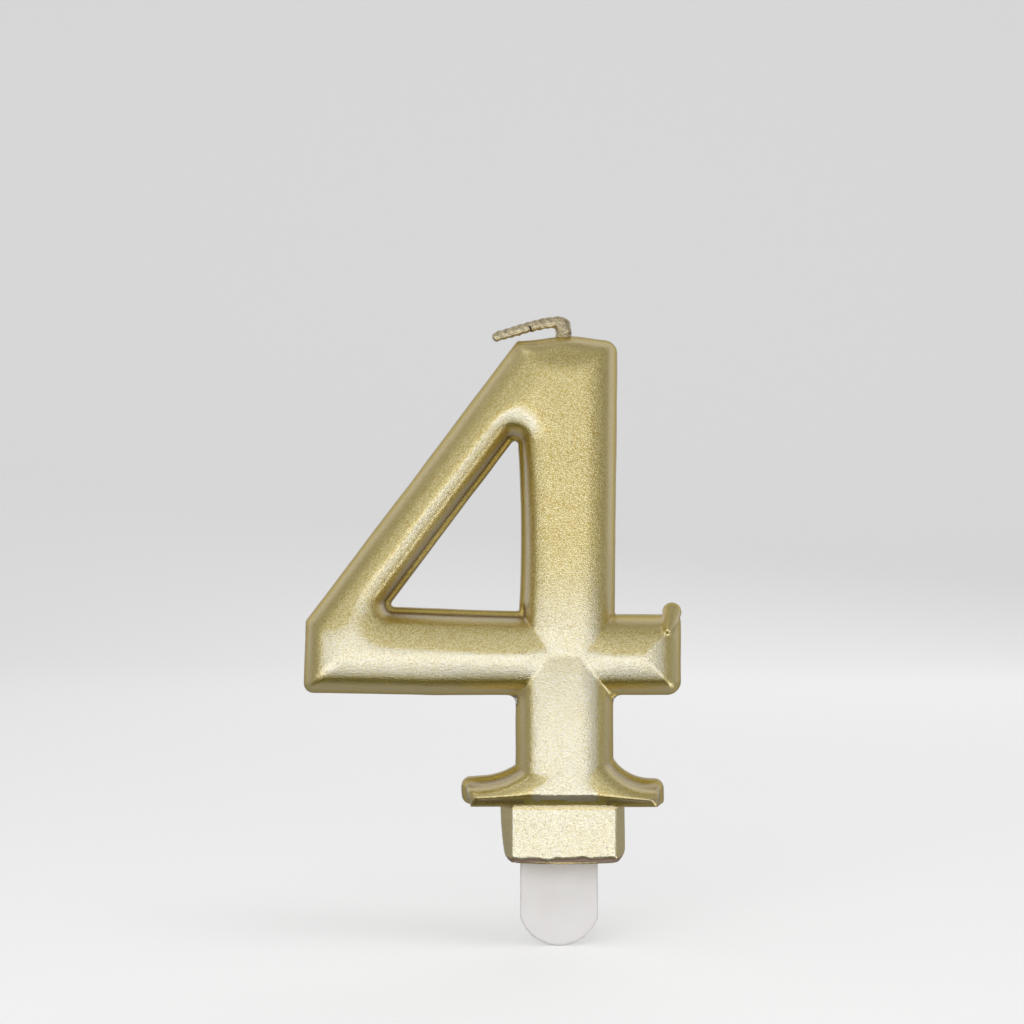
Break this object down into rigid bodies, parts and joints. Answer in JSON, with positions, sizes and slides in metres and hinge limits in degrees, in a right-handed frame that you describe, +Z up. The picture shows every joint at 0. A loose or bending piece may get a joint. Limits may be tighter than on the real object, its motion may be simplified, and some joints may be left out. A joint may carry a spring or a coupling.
{
  "type": "number candle",
  "caption": "Moulded number four cake candle with bevelled relief, drip collar, foot block, folded wick and a flat pick that pushes into a cake.",
  "frame": {"origin": "centre of the foot's underside, which rests on the cake's top", "axes": "+X to the right of the number as it is read, +Y away from the reader, +Z up along the stem"},
  "size_m": [0.0586, 0.013, 0.0977],
  "materials": {
    "gold_wax": "satin champagne-gold metallic paint with a fine grain, over cast white paraffin wax",
    "waxed_wick": "braided cotton wick, waxed and painted gold with the candle",
    "white_plastic": "smooth white moulded plastic, satin"
  },
  "bodies": {
    "holder": {"holder_pick": "white_plastic"},
    "candle": {"wax_number": "gold_wax", "wick": "waxed_wick"},
    "folded_wick": {"wick_tip": "waxed_wick"}
  },
  "joints": [
    {"name": "candle_lift", "type": "slide", "parent": "holder", "child": "candle", "axis": [0, 0, 1], "range_m": [0, 0.012]},
    {"name": "wick_fold", "type": "hinge", "parent": "candle", "child": "folded_wick", "pos_m": [0.0001, 0, 0.0834], "axis": [0, 1, 0], "range_deg": [0, 100]}
  ]
}
